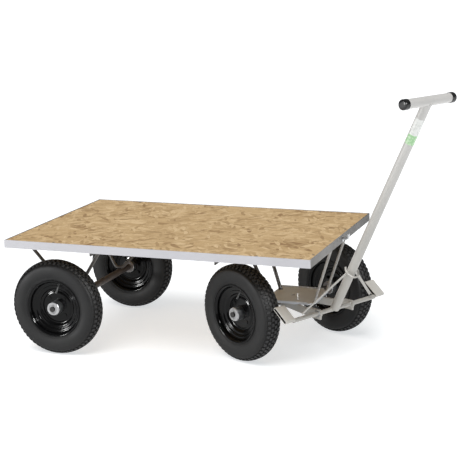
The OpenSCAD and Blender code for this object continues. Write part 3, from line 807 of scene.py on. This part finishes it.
def axle_end_mesh(middle, outwards, track):
    """Dished washer and split pin at one end of an axle."""
    verts, faces = [], []
    outer = track / 2 + HUB_HALF_GAP
    loop = [
        (BORE, outer), (WASHER_CORNER, outer), (WASHER_RADIUS, outer + 0.6), (WASHER_RADIUS, outer + 1.9),
        (WASHER_CORNER, outer + 2.5), (17.2, outer + 2.5), (16.6, outer + 1.5), (14.6, outer + 1.5),
        (14, outer + 2.5), (BORE, outer + 2.5),
    ]
    add(verts, faces, lathe([(r * MM, y * MM) for r, y in loop], 72))
    pin = outer + PIN_PLACE
    for dy in (-PIN_WIRE, PIN_WIRE):
        leg = [(0, pin + dy, 14.5), (0, pin + dy, 0), (0, pin + dy, -13.5), (0, pin + dy * 2.2, -16.5)]
        add(verts, faces, tube([Vector(p) * MM for p in leg], PIN_WIRE * MM, 10))
    turns = [math.radians(15 + 330 * i / 20) for i in range(21)]
    eye = [Vector((PIN_EYE * math.sin(a), pin, 17.4 - PIN_EYE * math.cos(a))) * MM for a in turns]
    add(verts, faces, tube(eye, PIN_WIRE * MM, 10))
    place = facing(outwards, middle)
    return [place @ Vector(v) for v in verts], faces


for axle, body, left_wheel, right_wheel in (
    ("front", "steering", "front_left", "front_right"),
    ("rear", "chassis", "rear_left", "rear_right"),
):
    a = Vector(JOINTS[f"{left_wheel}_wheel_spin"]["pos_m"])
    b = Vector(JOINTS[f"{right_wheel}_wheel_spin"]["pos_m"])
    verts, faces, collar_verts, collar_faces = [], [], [], []
    for outwards in ((a - b).normalized(), (b - a).normalized()):
        add(verts, faces, axle_end_mesh((a + b) / 2, outwards, (a - b).length * 1000))
        add(collar_verts, collar_faces, collar_mesh((a + b) / 2, outwards, (a - b).length * 1000))
    solid = (f"{axle}_axle_fasteners",)
    piece(f"{axle}_washers_and_pins", verts, faces, body, "zinc", 30, None, solid, WASHER_ZINC)
    piece(f"{axle}_collars", collar_verts, collar_faces, body, "zinc", 30, None, (), COLLAR_STEEL)

# ------------------------------------------------------------------ softened edges of the plates and angles

for name, width in (
    ("deck_board", 0.0012), ("front_rail", 0.0009), ("rear_rail", 0.0009), ("left_rail", 0.0009),
    ("right_rail", 0.0009), ("cross_members", 0.0007), ("upper_turntable_plate", 0.0008),
    ("latch_hook", 0.0008), ("left_brake_shoe", 0.0006), ("right_brake_shoe", 0.0006),
    ("left_brace", 0.0006), ("right_brace", 0.0006),
):
    bevel = NODES[name].modifiers.new("softened_edges", "BEVEL")
    bevel.width = width
    bevel.segments = 2
    bevel.limit_method = "ANGLE"
    bevel.angle_limit = math.radians(40)

# ------------------------------------------------------------------ weld beads

random.seed(7)


def bead(points, radius, closed=False):
    """A weld bead: a rod of small overlapping swellings along a path."""
    pts = [Vector(p) for p in points]
    if closed:
        pts.append(pts[0])
    fine, radii = [], []
    step = radius * 0.55
    for p, q in zip(pts, pts[1:]):
        n = max(1, int((q - p).length / step))
        fine += [p.lerp(q, i / n) for i in range(n)]
    if not closed:
        fine.append(pts[-1])
    for i in range(len(fine)):
        radii.append(radius * (0.82 + 0.2 * abs(math.sin(i * 0.9)) + random.uniform(-0.05, 0.05)))
    return tube(fine, radii, 10, closed)


def ring_points(center, u, v, count=40):
    """Points of the ellipse with half axes u and v."""
    turns = [2 * math.pi * i / count for i in range(count)]
    return [center + math.cos(a) * u + math.sin(a) * v for a in turns]


def foot_ring(center, direction, normal, radius, grow=0.0006):
    """Ellipse where a slanting round rod meets a flat face."""
    direction, normal = direction.normalized(), normal.normalized()
    lean = direction - direction.dot(normal) * normal
    if lean.length < 1e-6:
        lean = normal.orthogonal()
    lean.normalize()
    long = radius / max(0.2, abs(direction.dot(normal)))
    return ring_points(center, lean * (long + grow), normal.cross(lean) * (radius + grow))


FRAME_BOTTOM, PLATE_TOP = 0.416, 0.201
# Top, foot and radius of the front and the rear rod on the left side of the turntable's plate.
TURNTABLE_STAYS = (
    ((0.5856, 0.0913), (0.5144, 0.0821), 0.005),
    ((0.2525, 0.1037), (0.3343, 0.0635), 0.007),
)
REAR_AXLE_X = JOINTS["rear_left_wheel_spin"]["pos_m"][0]
# Corner, ends and radius of the bent rod over the rear axle's left half.
V_CORNER, V_ENDS, V_RADIUS = (-0.4267, 0.2, 0.1836), ((-0.228, 0.345), (-0.583, 0.267)), 0.0065

verts, faces = [], []
for side in (1, -1):
    for top, foot, rod in TURNTABLE_STAYS:
        low = Vector((foot[0], side * foot[1], PLATE_TOP))
        high = Vector((top[0], side * top[1], FRAME_BOTTOM))
        add(verts, faces, bead(foot_ring(low, high - low, UP, rod), 0.0016, True))
    corner = Vector((V_CORNER[0], side * V_CORNER[1], V_CORNER[2]))
    for x, y in V_ENDS:
        end = Vector((x, side * y, FRAME_BOTTOM))
        add(verts, faces, bead(foot_ring(end - 0.0012 * UP, end - corner, UP, V_RADIUS), 0.0014, True))
    # Along both sides of the rod where it lies on the axle.
    for dx in (-0.0072, 0.0058):
        line = [Vector((REAR_AXLE_X + dx, side * (0.198 + 0.0006 * i), 0.1937)) for i in range(-6, 24)]
        add(verts, faces, bead(line, 0.0018))
piece("chassis_weld_beads", verts, faces, "chassis", "frame_paint", 60)

# Where each drawbar arm meets the back and the front of the head's block.
verts, faces = [], []
for side in (1, -1):
    line = [steered(x, side * 0.0505, 0.19) for x in (-0.0325, -0.031)]
    add(verts, faces, bead(line, 0.0014))
    line = [steered(0.0163, side * 0.0503, z / 1000) for z in range(171, 191, 2)]
    add(verts, faces, bead(line, 0.0016))
piece("steering_weld_beads", verts, faces, "steering", "handle_paint", 60)

AWAY = AHEAD * math.cos(LEAN) - UP * math.sin(LEAN)


def handle_point(x, y, z):
    """A point of the handle's frame: X ahead of the shaft, Y to the left, Z up the shaft."""
    return PIVOT + x * AWAY + y * AXLE_LINE + z * SHAFT


TUBE_RADIUS, GRIP_HEIGHT = 0.0167, 0.903
SHAFT_SIDE, ROD_RADIUS = 0.0172, 0.0085
RING_SIDE, RING_HEIGHT = 0.0222, 0.1795

# Round the shaft's top, where it meets the grip tube.
verts, faces = [], []
saddle = []
for i in range(48):
    a = 2 * math.pi * i / 48
    y = TUBE_RADIUS * math.sin(a)
    x = TUBE_RADIUS * math.cos(a)
    z = math.sqrt(max(0.0, TUBE_RADIUS**2 - x * x))
    saddle.append(handle_point(x * 1.02, y * 1.02, GRIP_HEIGHT - z - 0.0003))
add(verts, faces, bead(saddle, 0.0017, True))
for side in (1, -1):
    # Round the pivot rod beside the shaft, then at both ends of the brace, then along the catch ring.
    collar = []
    for i in range(25):
        a = math.radians(-115 + 230 * i / 24)
        collar.append(handle_point(ROD_RADIUS * math.sin(a), side * SHAFT_SIDE, ROD_RADIUS * math.cos(a)))
    add(verts, faces, bead(collar, 0.0016))
    for dx in (-0.0022, 0.0022):
        line = [handle_point(dx, side * (0.1835 + 0.002 * i), ROD_RADIUS) for i in range(7)]
        add(verts, faces, bead(line, 0.0013))
        line = [handle_point(dx, side * SHAFT_SIDE, 0.171 + 0.002 * i) for i in range(7)]
        add(verts, faces, bead(line, 0.0012))
    line = [handle_point(0.003 + 0.002 * i, side * RING_SIDE, RING_HEIGHT - 0.0006 * i) for i in range(5)]
    add(verts, faces, bead(line, 0.0015))
piece("handle_weld_beads", verts, faces, "handle", "handle_paint", 60)

# ------------------------------------------------------------------ floor


def stage_floor():
    """A wide pale floor that glows a little, so that shadows on it stay soft and light."""
    m = Mat("studio_floor")
    m.colour(m.ramp(m.noise(0.4, 2.0), (0.0, (0.58, 0.58, 0.58)), (1.0, (0.60, 0.60, 0.60))))
    m.p.inputs["Roughness"].default_value = 0.9
    m.p.inputs["Specular IOR Level"].default_value = 0.0
    m.p.inputs["Emission Color"].default_value = (0.958, 0.981, 1.0, 1.0)
    m.p.inputs["Emission Strength"].default_value = 0.64
    bm = bmesh.new()
    bmesh.ops.create_grid(bm, x_segments=8, y_segments=8, size=80.0)
    mesh = bpy.data.meshes.new("studio_floor")
    bm.to_mesh(mesh)
    bm.free()
    mesh.materials.append(m.m)
    floor = bpy.data.objects.new("studio_floor", mesh)
    scene.collection.objects.link(floor)


stage_floor()
